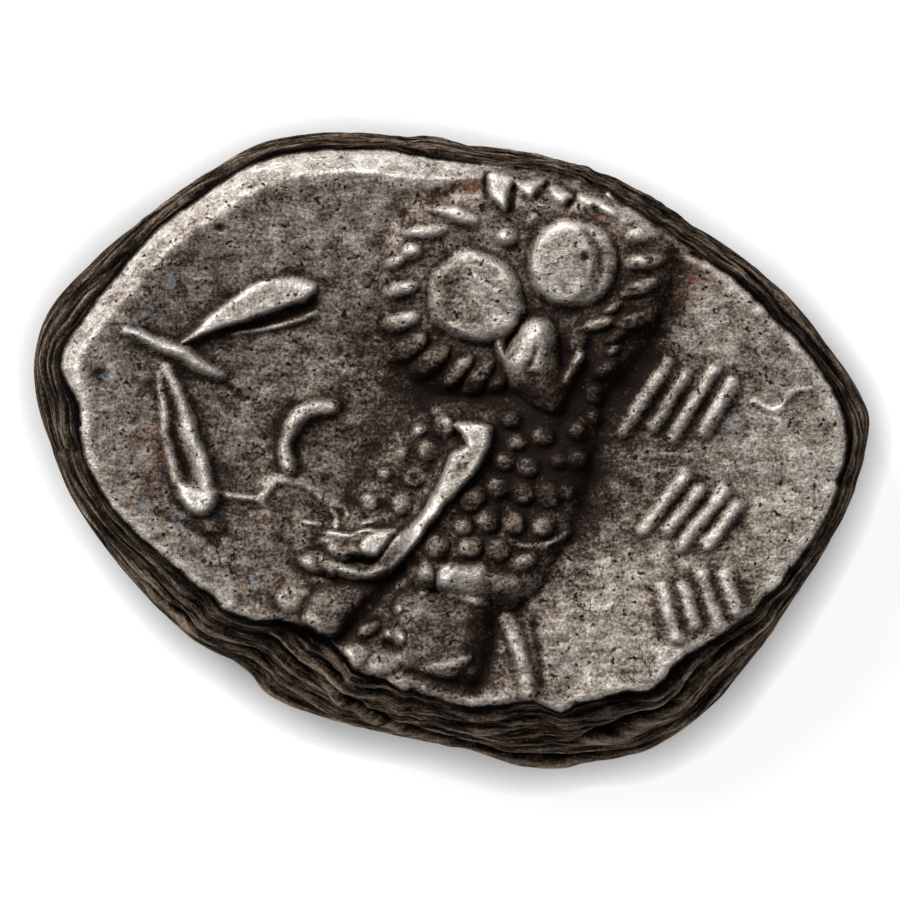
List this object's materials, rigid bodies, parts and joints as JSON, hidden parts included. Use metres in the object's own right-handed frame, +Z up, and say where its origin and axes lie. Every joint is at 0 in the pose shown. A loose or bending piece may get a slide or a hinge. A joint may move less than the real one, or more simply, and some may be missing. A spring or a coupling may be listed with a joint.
{
  "type": "tetradrachm coin",
  "caption": "Thick oblong hand-struck silver coin lying flat, with a high-relief owl and olive sprig on its upper face and a worn helmeted head beneath.",
  "frame": {"origin": "on the surface the coin lies on, under the middle of its plan", "axes": "+Z up through the owl's side, +X along the coin's length to the owl's wingless side, +Y towards the owl's head"},
  "size_m": [0.0244, 0.0186, 0.0068],
  "materials": {
    "toned_silver": "toned silver: satin on the worn high points, dull and dark in the recesses and on the edge"
  },
  "bodies": {
    "root": {"coin": "toned_silver"}
  },
  "joints": []
}
